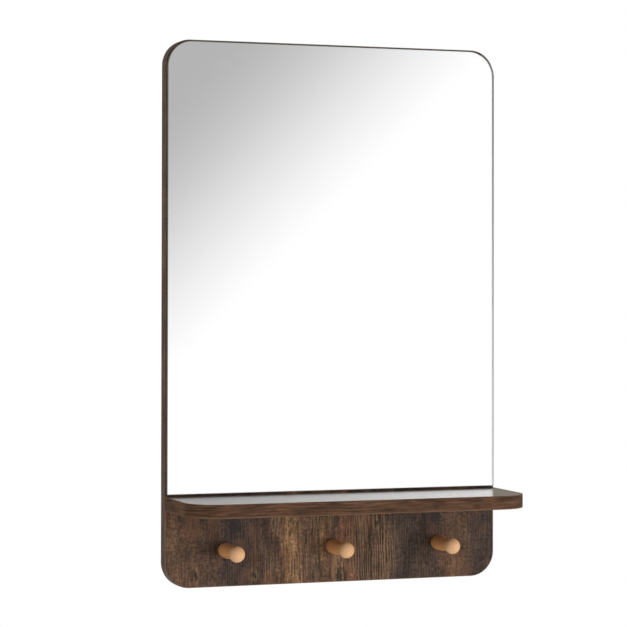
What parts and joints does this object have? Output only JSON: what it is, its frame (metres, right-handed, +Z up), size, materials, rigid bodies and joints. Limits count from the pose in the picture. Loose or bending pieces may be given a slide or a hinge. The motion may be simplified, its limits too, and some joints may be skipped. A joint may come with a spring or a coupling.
{
  "type": "wall mirror with shelf and pegs",
  "caption": "Rectangular wall mirror with rounded top corners on a rustic wood-decor panel, with a narrow shelf below the glass and turned wooden pegs under it.",
  "frame": {"origin": "centre of the back panel's wall face", "axes": "+X to the viewer's right along the shelf, +Y out of the back of the panel into the wall, +Z up"},
  "size_m": [0.39, 0.124, 0.6],
  "materials": {
    "chipboard": "raw pressed wood chips",
    "panel_decor": "satin rustic dark wood decor, grain upright",
    "rear_decor": "satin dark wood decor, grain upright",
    "panel_band": "satin dark wood edge band",
    "glass": "clear polished float glass",
    "silvering": "silver coat",
    "safety_film": "grey backing film",
    "foam_tape": "white foam tape",
    "shelf_decor": "satin rustic dark wood decor, grain along the shelf",
    "shelf_band": "satin reddish-brown edge band, grain along the shelf",
    "dowel_wood": "raw beech",
    "screw_steel": "yellow zinc plated",
    "peg_wood": "satin lacquered honey beech",
    "plate_steel": "zinc plated sheet"
  },
  "bodies": {
    "root": {"panel_core": "chipboard", "panel_front_facing": "panel_decor", "panel_rear_facing": "rear_decor", "panel_edge_band": "panel_band", "mirror_glass": "glass", "mirror_silvering": "silvering", "mirror_safety_film": "safety_film", "mirror_tape_strips": "foam_tape", "shelf_core": "chipboard", "shelf_top_facing": "shelf_decor", "shelf_bottom_facing": "shelf_decor", "shelf_edge_band": "shelf_band", "shelf_dowels": "dowel_wood", "shelf_screws": "screw_steel", "peg_left": "peg_wood", "peg_middle": "peg_wood", "peg_right": "peg_wood", "peg_screws": "screw_steel", "hanger_plate_left": "plate_steel", "hanger_plate_right": "plate_steel", "hanger_screws": "screw_steel"}
  },
  "joints": []
}
